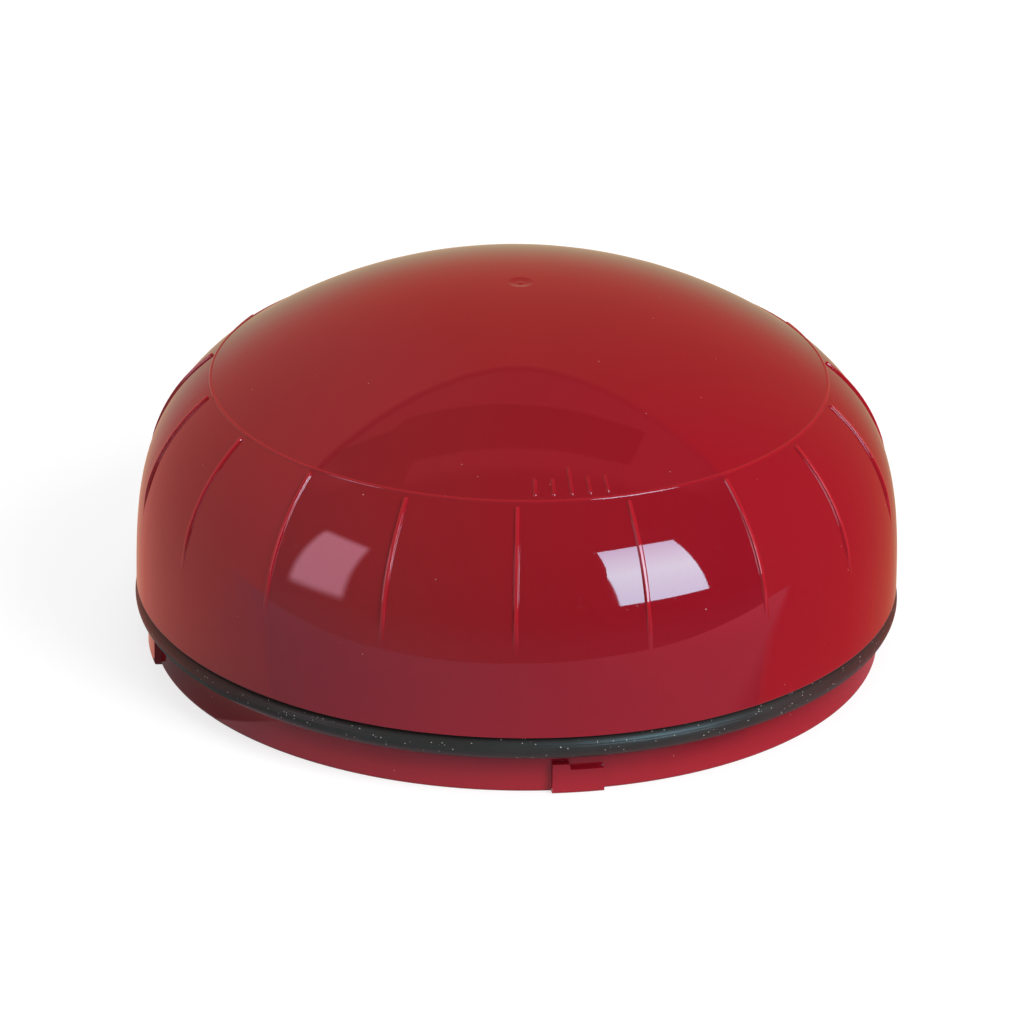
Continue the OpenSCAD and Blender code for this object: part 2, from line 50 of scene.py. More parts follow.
class Wire:
    """A shader value that takes part in Python sums: each operator adds its Math node."""

    def __init__(self, recipe, socket):
        self.recipe = recipe
        self.socket = socket

    def sum_with(self, operation, first, second):
        """The Math node of an operator, either side of which may be a plain number."""
        return self.recipe.add("ShaderNodeMath", {"operation": operation}, {0: first, 1: second})

    def __add__(self, other):
        return self.sum_with("ADD", self, other)

    def __radd__(self, other):
        return self.sum_with("ADD", other, self)

    def __sub__(self, other):
        return self.sum_with("SUBTRACT", self, other)

    def __rsub__(self, other):
        return self.sum_with("SUBTRACT", other, self)

    def __mul__(self, other):
        return self.sum_with("MULTIPLY", self, other)

    def __truediv__(self, other):
        return self.sum_with("DIVIDE", self, other)

    def __gt__(self, other):
        return self.sum_with("GREATER_THAN", self, other)

    def __lt__(self, other):
        return self.sum_with("LESS_THAN", self, other)

    def __abs__(self):
        return self.recipe.add("ShaderNodeMath", {"operation": "ABSOLUTE"}, {0: self})


class Recipe:
    """A node tree that is written from Python."""

    def __init__(self, tree):
        self.tree = tree
        tree.nodes.clear()

    def add(self, kind, settings=None, values=None, out=0):
        """Adds a node: its settings first, then the values or wires of its sockets."""
        node = self.tree.nodes.new(kind)
        for name, value in (settings or {}).items():
            if name == "stops":
                self.fill_ramp(node.color_ramp, value)
            else:
                setattr(node, name, value)
        for name, value in (values or {}).items():
            if isinstance(value, Wire):
                self.tree.links.new(value.socket, node.inputs[name])
            else:
                node.inputs[name].default_value = value
        return Wire(self, node.outputs[out]) if len(node.outputs) else node

    @staticmethod
    def fill_ramp(ramp, stops):
        """Gives a colour ramp its stops, which come in rising order."""
        while len(ramp.elements) < len(stops):
            ramp.elements.new(0.5)
        for element, (place, colour) in zip(ramp.elements, stops):
            element.position = place
            element.color = (*colour, 1.0)

    def ramp(self, value, stops):
        """A colour that follows value from 0 to 1."""
        return self.add("ShaderNodeValToRGB", {"stops": stops}, {0: value})

    def blend(self, share, first, second, how="MIX"):
        """The colour first, mixed with second as share goes from 0 to 1."""
        settings = {"data_type": "RGBA", "blend_type": how}
        return self.add("ShaderNodeMix", settings, {0: share, 6: first, 7: second}, 2)

    def ease(self, value, low, high):
        """0 below low and 1 above high, with a smooth turn in between."""
        settings = {"interpolation_type": "SMOOTHSTEP"}
        return self.add("ShaderNodeMapRange", settings, {0: value, 1: low, 2: high})

    def smaller(self, first, second):
        return self.add("ShaderNodeMath", {"operation": "MINIMUM"}, {0: first, 1: second})

    def larger(self, first, second):
        return self.add("ShaderNodeMath", {"operation": "MAXIMUM"}, {0: first, 1: second})

    def axes(self, vector):
        """The three numbers of a vector."""
        split = self.add("ShaderNodeSeparateXYZ", None, {0: vector})
        return [Wire(self, socket) for socket in split.socket.node.outputs]

    def length(self, vector):
        """How long a vector is."""
        return self.add("ShaderNodeVectorMath", {"operation": "LENGTH"}, {0: vector}, "Value")


class MaterialRecipe(Recipe):
    """A recipe that writes a material of its own."""

    def __init__(self, name):
        self.material = bpy.data.materials.new(name)
        self.material.use_nodes = True
        super().__init__(self.material.node_tree)

    def close(self, shader):
        """Sends the shader to the surface of the material."""
        self.add("ShaderNodeOutputMaterial", None, {"Surface": shader})
        return self.material

    def mixed(self, share, first, second):
        """The shader first, turning into second as share goes from 0 to 1."""
        return self.add("ShaderNodeMixShader", None, {0: share, 1: first, 2: second})


class Finish(MaterialRecipe):
    """A material of the head: fixed numbers sit on the shader, wires carry what varies."""

    def __init__(self, name):
        super().__init__(name)
        self.place = self.add("ShaderNodeTexCoord", out="Object")

    def stretched(self, factors):
        """The place on the part, scaled by a factor along each axis."""
        return self.add("ShaderNodeVectorMath", {"operation": "MULTIPLY"}, {0: self.place, 1: factors})

    def noise(self, per_metre, detail=3.0, rough=0.55, place=None):
        """Clouds from 0 to 1, per_metre of them to a metre."""
        values = {"Vector": place or self.place, "Scale": per_metre, "Detail": detail, "Roughness": rough}
        return self.add("ShaderNodeTexNoise", None, values, "Fac")

    def waves(self, direction, per_metre, distortion=0.0):
        """Even bands that follow one another along X, Y or Z."""
        values = {"Vector": self.place, "Scale": per_metre, "Distortion": distortion}
        return self.add("ShaderNodeTexWave", {"bands_direction": direction}, values, "Fac")

    def cells(self, per_metre, out="Distance"):
        """Irregular cells: how far off the nearest middle is, or another output of the node."""
        return self.add("ShaderNodeTexVoronoi", None, {"Vector": self.place, "Scale": per_metre}, out)

    def specks(self, per_metre, size, share):
        """Small round flecks, size of a cell across, in that share of the cells."""
        chosen = self.axes(self.cells(per_metre, "Color"))[0] < share
        return (1 - self.ease(self.cells(per_metre), size * 0.55, size)) * chosen

    def bump(self, height, strength, depth):
        """A normal from a height field whose full range is depth metres."""
        values = {"Height": height, "Strength": strength, "Distance": depth}
        return self.add("ShaderNodeBump", None, values, "Normal")

    def done(self, fixed, wires):
        """Closes the material with a Principled shader."""
        return self.close(self.add("ShaderNodeBsdfPrincipled", None, {**fixed, **wires}))


# ---------------------------------------------------------------- finishes

def red_polycarbonate():
    """Glossy through-coloured red, with a little dust and faint handling scratches, painted light along the
    skirt's bottom edge, painted shade on the skirt under the sealing ring, and a painted glow on the raised
    mouldings.
    """
    f = Finish("red_polycarbonate")
    dust = f.larger(f.specks(420, 0.06, 0.05), f.specks(900, 0.09, 0.03))
    pits = f.specks(1500, 0.20, 0.10)
    cloud = f.noise(38, 4)
    height = f.axes(f.place)[2]
    # Painted light and shade by height: the skirt is painted lighter towards its bottom edge, standing in
    # for floor light coming through the edge, and darker just below the sealing ring, standing in for the
    # ring's shade.
    painted_lip_light = f.ease(height, 5.2 * MM, 0.4 * MM) * 0.48
    painted_seat_shade = f.ease(height, 8.5 * MM, 5.8 * MM) * 0.16
    haze = f.noise(160, 5, 0.6)
    drag = f.noise(900, 2, 0.5, f.stretched((1.0, 0.06, 0.4)))
    # Ribs, index bars and the ring bead are painted a brighter red: a painted glow standing in for light
    # through the thin raised plastic.
    painted_glow_share = f.add("ShaderNodeAttribute", {"attribute_name": "raised"}, None, "Fac")
    deep = f.blend(cloud, (0.232, 0.0050, 0.0125, 1), (0.256, 0.0062, 0.0152, 1))
    red_with_painted_glow = f.blend(painted_glow_share * 0.9, deep, (0.42, 0.012, 0.024, 1))
    by_height = {0: red_with_painted_glow, "Scale": 1 + (painted_lip_light - painted_seat_shade)}
    red_with_painted_edge_light = f.add("ShaderNodeVectorMath", {"operation": "SCALE"}, by_height)
    colour = f.blend(dust * 0.55, red_with_painted_edge_light, (0.62, 0.36, 0.34, 1))
    scratch = f.ease(drag, 0.72, 0.78)
    rough = 0.022 + haze * 0.02 + scratch * 0.04 + f.larger(dust * 0.35, pits * 0.22)
    skin = f.bump(f.noise(26, 2) + dust * 0.1, 0.22, 0.00012)
    return f.done({"IOR": 1.58}, {"Base Color": colour, "Roughness": rough, "Normal": skin})


def seal_rubber():
    """Black moulded rubber, slightly chalky, with pale dust clinging to it."""
    f = Finish("seal_rubber")
    dust = f.larger(f.specks(2700, 0.24, 0.12), f.specks(1100, 0.13, 0.10))
    bloom = f.noise(120, 4)
    fine = f.noise(5200, 2)
    body = f.blend(bloom, (0.019, 0.019, 0.019, 1), (0.036, 0.035, 0.033, 1))
    colour = f.blend(dust * 0.9, body, (0.60, 0.58, 0.54, 1))
    rough = 0.28 + bloom * 0.16 + dust * 0.3
    skin = f.bump(fine + dust * 1.4, 0.35, 0.00003)
    return f.done({"IOR": 1.36, "Specular Tint": (0.66, 0.90, 0.88, 1)},
                  {"Base Color": colour, "Roughness": rough, "Normal": skin})


def moulded(name, light, dark, rough, grain=3800, depth=0.00002):
    """Moulded plastic with a fine spark-eroded grain and a slow change of shade."""
    f = Finish(name)
    cloud = f.noise(45, 4)
    grit = f.noise(grain, 3)
    colour = f.blend(cloud * 0.7 + grit * 0.3, (*dark, 1), (*light, 1))
    shine = rough - 0.06 + grit * 0.12
    return f.done({"IOR": 1.5}, {"Base Color": colour, "Roughness": shine,
                                 "Normal": f.bump(grit, 0.5, depth)})


def plated(name, light, dark, rough, streak=(1.0, 1.0, 0.12)):
    """Plated or rolled metal: fine lines along the work and slightly clouded plating."""
    f = Finish(name)
    cloud = f.noise(260, 4)
    lines = f.noise(4200, 2, 0.5, f.stretched(streak))
    colour = f.blend(cloud, (*dark, 1), (*light, 1))
    shine = rough + cloud * 0.14 + lines * 0.1 - 0.08
    return f.done({"Metallic": 0.5}, {"Base Color": colour, "Roughness": shine,
                                      "Normal": f.bump(lines, 0.35, 0.00001)})


def circuit_board(name, mask, copper, track_share):
    """Lacquered board: copper tracks show as a paler shade under the lacquer, with plated holes."""
    f = Finish(name)
    bands = f.waves("X", 95.0)
    cross = f.waves("Y", 110.0)
    patch = f.ease(f.cells(110), 0.38, 0.42)
    tracks = f.ease(bands, 0.70, 0.76) * patch + f.ease(cross, 0.72, 0.78) * (1 - patch)
    holes = f.specks(260, 0.16, track_share)
    darker = [0.8 * share for share in mask]
    ground = f.blend(f.noise(70, 3) * 0.5, (*mask, 1), (*darker, 1))
    lacquer = f.blend(tracks * 0.75, ground, (*copper, 1))
    colour = f.blend(holes, lacquer, (0.70, 0.68, 0.62, 1))
    rough = 0.34 - tracks * 0.08 + holes * 0.1
    edge = f.bump(tracks + holes * 0.6, 0.6, 0.00004)
    return f.done({"IOR": 1.5}, {"Base Color": colour, "Roughness": rough,
                                 "Metallic": holes * 0.9, "Normal": edge})


def woven_membrane():
    """White breathable membrane with a fine square weave."""
    f = Finish("membrane_white")
    weave = f.larger(f.waves("X", 640.0), f.waves("Y", 640.0))
    colour = f.blend(weave, (0.60, 0.60, 0.58, 1), (0.86, 0.86, 0.84, 1))
    return f.done({"IOR": 1.4}, {"Base Color": colour, "Roughness": 0.9 - weave * 0.15,
                                 "Normal": f.bump(weave, 0.8, 0.00004)})


def capacitor_sleeve():
    """Printed blue sleeve with its pale polarity stripe, and a bare aluminium top."""
    f = Finish("capacitor_sleeve")
    x, _, z = f.axes(f.place)
    _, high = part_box("filter_capacitors")
    stripe = (x > high.x - 0.75 * MM) * (z < high.z - 0.8 * MM)
    top = z > high.z - 0.3 * MM
    mottled = f.noise(900, 3)
    blue = f.blend(mottled, (0.010, 0.016, 0.050, 1), (0.018, 0.027, 0.075, 1))
    striped = f.blend(stripe, blue, (0.62, 0.63, 0.60, 1))
    colour = f.blend(top, striped, (0.80, 0.80, 0.79, 1))
    return f.done({"IOR": 1.5}, {"Base Color": colour, "Roughness": 0.24 + mottled * 0.12,
                                 "Metallic": top * 0.45, "Normal": f.bump(mottled, 0.25, 0.00003)})


def wound_copper():
    """Enamelled copper wire wound in close turns."""
    f = Finish("copper_winding")
    turns = f.waves("Z", 900.0, 0.4)
    shade = f.noise(500, 3)
    # The colour darkens and lightens with each turn: painted shade in the grooves between the turns.
    colour = f.blend(turns * 0.7 + shade * 0.3, (0.24, 0.07, 0.025, 1), (0.72, 0.30, 0.14, 1))
    return f.done({"IOR": 1.5}, {"Base Color": colour, "Roughness": 0.38 - turns * 0.12,
                                 "Metallic": 0.55 + turns * 0.35, "Normal": f.bump(turns, 0.9, 0.00012)})


def ferrite():
    """Sintered grey-black core, dull and grainy."""
    f = Finish("ferrite")
    grain = f.noise(3000, 4)
    chips = f.specks(1400, 0.2, 0.05)
    colour = f.blend(grain, (0.030, 0.030, 0.033, 1), (0.070, 0.068, 0.070, 1))
    return f.done({"IOR": 1.7}, {"Base Color": colour, "Roughness": 0.62 - chips * 0.3,
                                 "Normal": f.bump(grain - chips, 0.7, 0.00004)})


def chip_moulding(name, body_half, centres):
    """Black chip moulding with tinned legs where the node reaches past the moulding."""
    f = Finish(name)
    _, y, _ = f.axes(f.place)
    away = abs(y - centres[0])
    for centre in centres[1:]:
        away = f.smaller(away, abs(y - centre))
    leg = away > body_half + 0.02 * MM
    grit = f.noise(6000, 2)
    black = f.blend(grit, (0.012, 0.012, 0.013, 1), (0.026, 0.026, 0.027, 1))
    colour = f.blend(leg, black, (0.70, 0.69, 0.66, 1))
    return f.done({"IOR": 1.52}, {"Base Color": colour, "Roughness": 0.55 - leg * 0.25,
                                  "Metallic": leg * 0.95, "Normal": f.bump(grit, 0.4, 0.00001)})


def diode_lens():
    """Clear dome over yellow phosphor."""
    f = Finish("diode_lens")
    glow = f.noise(1500, 3)
    colour = f.blend(glow, (0.82, 0.60, 0.16, 1), (0.90, 0.74, 0.30, 1))
    return f.done({"IOR": 1.45, "Coat IOR": 1.5, "Coat Roughness": 0.03},
                  {"Base Color": colour, "Roughness": 0.1 + glow * 0.1, "Coat Weight": 0.9 + glow * 0.1})


def mirror_metal():
    """Vacuum-metallised flare with faint flow ripples from its moulding."""
    f = Finish("reflector_silver")
    ripple = f.noise(240, 2)
    haze = f.noise(1800, 4)
    colour = f.blend(haze, (0.80, 0.81, 0.82, 1), (0.90, 0.90, 0.89, 1))
    return f.done({"Metallic": 0.6}, {"Base Color": colour, "Roughness": 0.07 + haze * 0.08,
                                      "Normal": f.bump(ripple, 0.3, 0.00008)})


def sheathing(name, light, dark):
    """Soft wire insulation with a slightly wavy skin."""
    f = Finish(name)
    wave = f.noise(700, 3)
    colour = f.blend(wave, (*dark, 1), (*light, 1))
    return f.done({"IOR": 1.5}, {"Base Color": colour, "Roughness": 0.3 + wave * 0.2,
                                 "Normal": f.bump(wave, 0.35, 0.00005)})


def fired_ceramic():
    """Silvered piezo ceramic: pale, matt, with a speckled electrode."""
    f = Finish("ceramic")
    grain = f.noise(2600, 4)
    colour = f.blend(grain, (0.62, 0.60, 0.55, 1), (0.80, 0.79, 0.75, 1))
    return f.done({"IOR": 1.8}, {"Base Color": colour, "Roughness": 0.4 + grain * 0.2,
                                 "Metallic": grain * 0.5, "Normal": f.bump(grain, 0.4, 0.00002)})


RED = red_polycarbonate()
RUBBER = seal_rubber()
STEEL = plated("zinc_steel", (0.66, 0.67, 0.68), (0.50, 0.51, 0.54), 0.34)
BRASS = plated("contact_brass", (0.78, 0.60, 0.30), (0.62, 0.45, 0.20), 0.3, (1.0, 0.1, 1.0))
BLACK = moulded("black_plastic", (0.030, 0.030, 0.032), (0.018, 0.018, 0.019), 0.42)
SLIDER = moulded("slider_white", (0.80, 0.80, 0.78), (0.70, 0.70, 0.68), 0.36, 5200)

NODE_FINISHES = {
    "chassis": moulded("chassis_plastic", (0.72, 0.70, 0.62), (0.64, 0.61, 0.53), 0.44),
    "dome_screws": STEEL,
    "contact_blades": BRASS,
    "contact_rivets": STEEL,
    "main_board": circuit_board("board_green", (0.020, 0.115, 0.040), (0.055, 0.21, 0.075), 0.30),
    "board_screws": STEEL,
    "sound_membrane": woven_membrane(),
    "sounder_case": BLACK,
    "sounder_diaphragm": BRASS,
    "piezo_disc": fired_ceramic(),
    "sounder_clamp_ring": BLACK,
    "sounder_screws": STEEL,
    "sounder_leads": sheathing("red_wire", (0.50, 0.025, 0.020), (0.38, 0.015, 0.014)),
    "light_spacers": plated("nickel_brass", (0.72, 0.69, 0.62), (0.58, 0.55, 0.48), 0.26),
    "spacer_nuts": STEEL,
    "light_board": circuit_board("board_white", (0.74, 0.74, 0.71), (0.62, 0.63, 0.60), 0.22),
    "light_board_screws": STEEL,
    "led_packages": moulded("diode_body", (0.84, 0.82, 0.76), (0.74, 0.71, 0.64), 0.35, 6000),
    "led_lenses": diode_lens(),
    "reflector": mirror_metal(),
    "reflector_screw": STEEL,
    "link_sockets": moulded("socket_nylon", (0.78, 0.75, 0.66), (0.68, 0.64, 0.54), 0.4),
    "link_wires": sheathing("blue_wire", (0.020, 0.045, 0.30), (0.012, 0.028, 0.20)),
    "filter_capacitors": capacitor_sleeve(),
    "boost_inductor": ferrite(),
    "transformer_winding": wound_copper(),
    "microcontroller": chip_moulding("control_chip", 3.75 * MM, [31 * MM]),
    "driver_chips": chip_moulding("driver_chip", 2 * MM, [5 * MM, 29 * MM]),
    "chip_resistors": moulded("ceramic_dark", (0.060, 0.062, 0.066), (0.030, 0.030, 0.032), 0.4, 7000),
    "tone_switch_case": moulded("switch_blue", (0.020, 0.075, 0.36), (0.014, 0.050, 0.26), 0.36, 5200),
    "volume_trimmer_case": moulded("trimmer_blue", (0.040, 0.16, 0.46), (0.028, 0.11, 0.34), 0.36, 5200),
    "volume_trimmer_rotor": SLIDER,
}
NODE_FINISHES["transformer_core"] = NODE_FINISHES["boost_inductor"]
for number in range(1, 6):
    NODE_FINISHES[f"tone_slider_{number}"] = SLIDER

for node_name, finish in NODE_FINISHES.items():
    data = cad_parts[node_name].data
    data.materials.clear()
    data.materials.append(finish)


# ---------------------------------------------------------------- mesh making

def piece(name, points, faces, material, body, crease=35.0, raised=None):
    """A smooth-shaded mesh on a body, with edges sharper than crease kept crisp, and a per-point share of
    painted glow when one is given.
    """
    mesh = bpy.data.meshes.new(name)
    mesh.from_pydata([tuple(p) for p in points], [], [tuple(f) for f in faces])
    if raised is not None:
        layer = mesh.attributes.new("raised", "FLOAT", "POINT")
        layer.data.foreach_set("value", np.asarray(raised, np.float32))
    mesh.shade_smooth()
    mesh.set_sharp_from_angle(angle=math.radians(crease))
    mesh.materials.append(material)
    made = bpy.data.objects.new(name, mesh)
    bpy.context.scene.collection.objects.link(made)
    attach(made, body)
    return made


def turned(radii, heights, painted_glow_rows, angles):
    """Points, faces and painted glow shares of a closed skin turned about Z: rows of values, one per angle.

    A row whose radius is zero closes to a single point.
    """
    rows, columns = radii.shape
    points, kept, index = [], [], np.zeros((rows, columns), int)
    for i in range(rows):
        if abs(radii[i]).max() < 1e-9:
            index[i] = len(points)
            points.append((0.0, 0.0, heights[i, 0]))
            kept.append(0.0)
            continue
        index[i] = len(points) + np.arange(columns)
        points.extend(zip(radii[i] * np.cos(angles), radii[i] * np.sin(angles), heights[i]))
        kept.extend(painted_glow_rows[i])
    faces = []
    for i in range(rows - 1):
        for j in range(columns):
            k = (j + 1) % columns
            loop = (index[i, j], index[i + 1, j], index[i + 1, k], index[i, k])
            faces.append(tuple(dict.fromkeys(int(v) for v in loop)))
    return points, faces, kept


def smooth_step(value):
    """0 below 0 and 1 above 1, flat at both ends."""
    t = np.clip(value, 0.0, 1.0)
    return t * t * t * (t * (6.0 * t - 15.0) + 10.0)


# ---------------------------------------------------------------- the dome

# Sizes in millimetres and angles in degrees, as in the CAD.
_, dome_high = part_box("dome")
CROWN_Z = dome_high.z / MM
DOME_R = 55.0
RING_R = 44.2
RING_Z = 40.5
WALL = 2.5
STRAIGHT_Z = 3.9
SHOULDER_POWER = 4.15
EDGE_Z = 9.45
GROOVE_LOW_Z = 5.7
GROOVE_R = 51.7
SKIRT_R = 52.44
BORE_R = 49.9
FRONT = 270.0
CAP_RISE = CROWN_Z - RING_Z
CAP_R = (RING_R ** 2 + CAP_RISE ** 2) / (2 * CAP_RISE)
CAP_Z = CROWN_Z - CAP_R

RING_BEAD = 0.13
RING_HALF = 0.24
CROWN_RUN = 0.80
SHOULDER_DROP = 0.775
RIB_COUNT = 18
RIB_PITCH = 360.0 / RIB_COUNT
RIB_END_DROP = 0.78
RIB_HALF = 0.42
RIB_FLAT = 0.20
RIB_RISE = 0.30
RIB_TOP_Z = RING_Z - 0.45
RIB_LOW_Z = 21.0
RIB_FULL_Z = 28.0
MARK_START = 3.2
MARK_PITCH = 3.4
MARK_LENGTHS = (2.4, 2.4, 3.8, 2.4, 2.4)
MARK_OUTER_R = 43.6
MARK_HALF = 0.33
MARK_FLAT = 0.16
MARK_RISE = 0.16
LUG_START = 5.74
LUG_ANGLE = 8.0
LUG_STOP_ANGLE = 2.7
LUG_R = 53.4
LUG_H = 3.74
LUG_STOP_H = 4.6
LUG_COUNT = 4
LUG_PITCH = 360.0 / LUG_COUNT
DIMPLE_R = 1.8
DIMPLE_DEPTH = 0.22
GATE_RISE = 0.16
POST_ANGLES = (90.0, 210.0, 330.0)
POST_PCD_R = 45.4
POST_R = 3.6
POST_LOW_Z = 7.8
POST_HOLE_R = 1.54
POST_HOLE_TOP = 21.8

# How much brighter the red is painted where it stands proud: a painted glow standing in for light coming
# through the thin raised plastic.
MARK_PAINTED_GLOW = 0.35
RING_PAINTED_GLOW = 0.5
RIB_PAINTED_GLOW = 0.85


def shoulder_r(z):
    """The shoulder's radius at height z."""
    share = max(z - STRAIGHT_Z, 0.0) / (RING_Z - STRAIGHT_Z)
    return DOME_R - (DOME_R - RING_R) * share ** SHOULDER_POWER


def shoulder_point(z, out):
    """The shoulder at height z moved outwards, and its unit normal."""
    share = max(z - STRAIGHT_Z, 0.0) / (RING_Z - STRAIGHT_Z)
    slope = -(DOME_R - RING_R) * SHOULDER_POWER / (RING_Z - STRAIGHT_Z) * share ** (SHOULDER_POWER - 1)
    size = math.hypot(1.0, slope)
    n = (1.0 / size, -slope / size)
    return shoulder_r(z) + out * n[0], z + out * n[1], n[0], n[1]


def cap_point(r, out):
    """The crown at radius r moved outwards, and its unit normal."""
    rise = math.sqrt(CAP_R ** 2 - r ** 2)
    n = (r / CAP_R, rise / CAP_R)
    return r + out * n[0], CAP_Z + rise + out * n[1], n[0], n[1]


def dome_columns():
    """Directions of the dome's meridians, close together wherever something is moulded on."""
    found = set(np.arange(0.0, 360.0, 2.0))
    rib = [0, 0.1, 0.2, 0.24, 0.28, 0.32, 0.36, 0.40, 0.44, 0.52]
    rib_r = 50.0
    for i in range(RIB_COUNT):
        for t in rib:
            step = math.degrees(t / rib_r)
            found |= {FRONT + i * RIB_PITCH + step, FRONT + i * RIB_PITCH - step}
    bar = [0, 0.2, 0.28, 0.34, 0.38, 0.42, 0.46, 0.50, 0.56, 0.64]
    for i in range(len(MARK_LENGTHS)):
        for step in bar:
            centre = FRONT + MARK_START + i * MARK_PITCH
            found |= {centre + step, centre - step}
    for i in range(LUG_COUNT):
        for edge in (0.0, LUG_STOP_ANGLE, LUG_ANGLE):
            for step in (-0.22, -0.12, -0.06, 0.0, 0.06, 0.12, 0.22):
                found.add(FRONT + LUG_START + LUG_PITCH * i + edge + step)
    degrees = sorted({round(a % 360.0, 4) for a in found})
    kept = [degrees[0]]
    closest = 0.03
    for a in degrees[1:]:
        if a - kept[-1] > closest:
            kept.append(a)
    return np.radians(kept)


def outer_stations():
    """Rows of the outside from crown to rim: radius, height, normal, arc past the ring line, kind."""
    rows = []
    radii = [0.0, 0.25, 0.5, 0.75, 1.0, 1.25, 1.5, 1.65, 1.8, 1.95, 2.2, 3, 4.5, 6.5, 9, 12, 15, 18, 21, 24,
             27, 30, 33, 35.5, 37.5, 39.0, 39.5, 39.7, 39.8, 39.9, 40.1, 40.6, 41.0, 41.1, 41.2, 41.3, 41.6,
             42.2, 42.8, 43.2, 43.4, 43.5, 43.6, 43.7, 43.78]
    for r in radii:
        rows.append((*cap_point(r, 0.0), "crown", r - RING_R))
    for past in (-0.34, -0.29, -0.25, -0.2, -0.14, -0.07, 0.0, 0.07, 0.14, 0.2, 0.25, 0.29, 0.34):
        if past <= 0:
            base = cap_point(RING_R + past * CROWN_RUN, 0.0)
        else:
            base = shoulder_point(RING_Z - past * SHOULDER_DROP, 0.0)
        rows.append((*base, "ring", past))
    heights = [40.2, 40.12, 40.05, 39.98, 39.9, 39.8, 39.65, 39.4, 39.0, 38.5, 38.0, 37.2, 36.4, 35.6, 34.8,
               34, 33, 32, 31, 30, 29, 28.4, 28, 27.5, 27, 26, 25, 24, 23, 22, 21.4, 21, 20.4, 19.5,
               18.2, 16.8, 15.4, 14, 12.8, 11.6, 10.6, 9.9, 9.62, 9.5]
    for z in heights:
        rows.append((*shoulder_point(z, 0.0), "shoulder", 0.0))
    rim = shoulder_r(EDGE_Z)
    rows += [(rim - 0.02, EDGE_Z + 0.012, 0.7, -0.7, "plain", 0.0),
             (rim - 0.07, EDGE_Z, 0.0, -1.0, "plain", 0.0),
             (GROOVE_R + 0.08, EDGE_Z, 0.0, -1.0, "plain", 0.0),
             (GROOVE_R, EDGE_Z - 0.08, 1.0, 0.0, "plain", 0.0),
             (GROOVE_R, GROOVE_LOW_Z + 0.08, 1.0, 0.0, "plain", 0.0),
             (GROOVE_R + 0.08, GROOVE_LOW_Z, 0.0, 1.0, "plain", 0.0),
             (SKIRT_R - 0.07, GROOVE_LOW_Z, 0.0, 1.0, "plain", 0.0),
             (SKIRT_R - 0.02, GROOVE_LOW_Z - 0.02, 0.7, 0.7, "plain", 0.0)]
    for z in (5.62, 5.4, 5.1, 4.8, 4.72, 4.66, 4.6, 4.52, 4.4, 4.2, 4.0, 3.9, 3.84, 3.78, 3.72, 3.64, 3.5,
              3.1, 2.6, 2.1, 1.6, 1.1, 0.7, 0.42, 0.3):
        rows.append((SKIRT_R, z, 1.0, 0.0, "skirt", 0.0))
    rows += [(SKIRT_R - 0.03, 0.2, 0.8, -0.5, "skirt", 0.0), (SKIRT_R - 0.11, 0.1, 0.6, -0.8, "skirt", 0.0),
             (SKIRT_R - 0.3, 0.0, 0.0, -1.0, "skirt", 0.0)]
    return rows


def inner_stations():
    """Rows of the inside from rim to crown."""
    rows = [(BORE_R + 0.3, 0.0), (BORE_R + 0.08, 0.05), (BORE_R, 0.25), (BORE_R, 5.0), (BORE_R, 10.0),
            (BORE_R, 15.0), (BORE_R, 20.0)]
    for z in np.linspace(21.0, RING_Z, 34):
        r, h, _, _ = shoulder_point(float(z), -WALL)
        if r < BORE_R and math.hypot(r, h - CAP_Z) < CAP_R - WALL:
            rows.append((r, h))
    start = rows[-1][0] - 0.5
    for r in [*np.linspace(start, 2.0, 22), 1.0, 0.0]:
        rows.append(cap_point(float(r) * CAP_R / (CAP_R - WALL), -WALL)[:2])
    return rows


def turn_from(angles, direction):
    """Signed angle in degrees from a direction to each meridian."""
    return (np.degrees(angles) - direction + 180.0) % 360.0 - 180.0


def rib_height(angles, r, z):
    """Height of the ribs above the shoulder: flat-topped with rolled sides and a rounded upper end."""
    swell = min(1.0, max(0.0, (z - RIB_LOW_Z) / (RIB_FULL_Z - RIB_LOW_Z)))
    apart = turn_from(angles, FRONT)
    aside = (apart + RIB_PITCH / 2) % RIB_PITCH - RIB_PITCH / 2
    across = np.abs(np.radians(aside)) * r
    beyond = max(0.0, (z - (RIB_TOP_Z - RIB_HALF * RIB_END_DROP)) / RIB_END_DROP)
    away = np.hypot(across, beyond)
    side = smooth_step((away - RIB_FLAT) / (RIB_HALF - RIB_FLAT))
    return RIB_RISE * smooth_step(swell) * (1.0 - side)


def mark_height(angles, r):
    """Height of the index bars above the crown."""
    height = np.zeros_like(angles)
    for i, length in enumerate(MARK_LENGTHS):
        across = np.abs(np.radians(turn_from(angles, FRONT + MARK_START + i * MARK_PITCH))) * r
        middle = MARK_OUTER_R - length / 2
        along = max(0.0, abs(r - middle) - (length / 2 - MARK_HALF))
        away = np.hypot(across, along)
        side = smooth_step((away - MARK_FLAT) / (MARK_HALF - MARK_FLAT))
        height = np.maximum(height, MARK_RISE * (1.0 - side))
    return height


def lug_depth(angles, z):
    """How far the lugs stand out of the skirt at height z."""
    depth = np.zeros_like(angles)
    for i in range(LUG_COUNT):
        turn = turn_from(angles, FRONT + LUG_START + LUG_PITCH * i)
        sides = smooth_step((turn + 0.06) / 0.12) * smooth_step((LUG_ANGLE + 0.06 - turn) / 0.12)
        stop = smooth_step((LUG_STOP_ANGLE + 0.12 - turn) / 0.24)
        top = LUG_H + (LUG_STOP_H - LUG_H) * stop
        depth = np.maximum(depth, sides * smooth_step((top + 0.04 - z) / 0.12))
    return depth * (LUG_R - SKIRT_R)


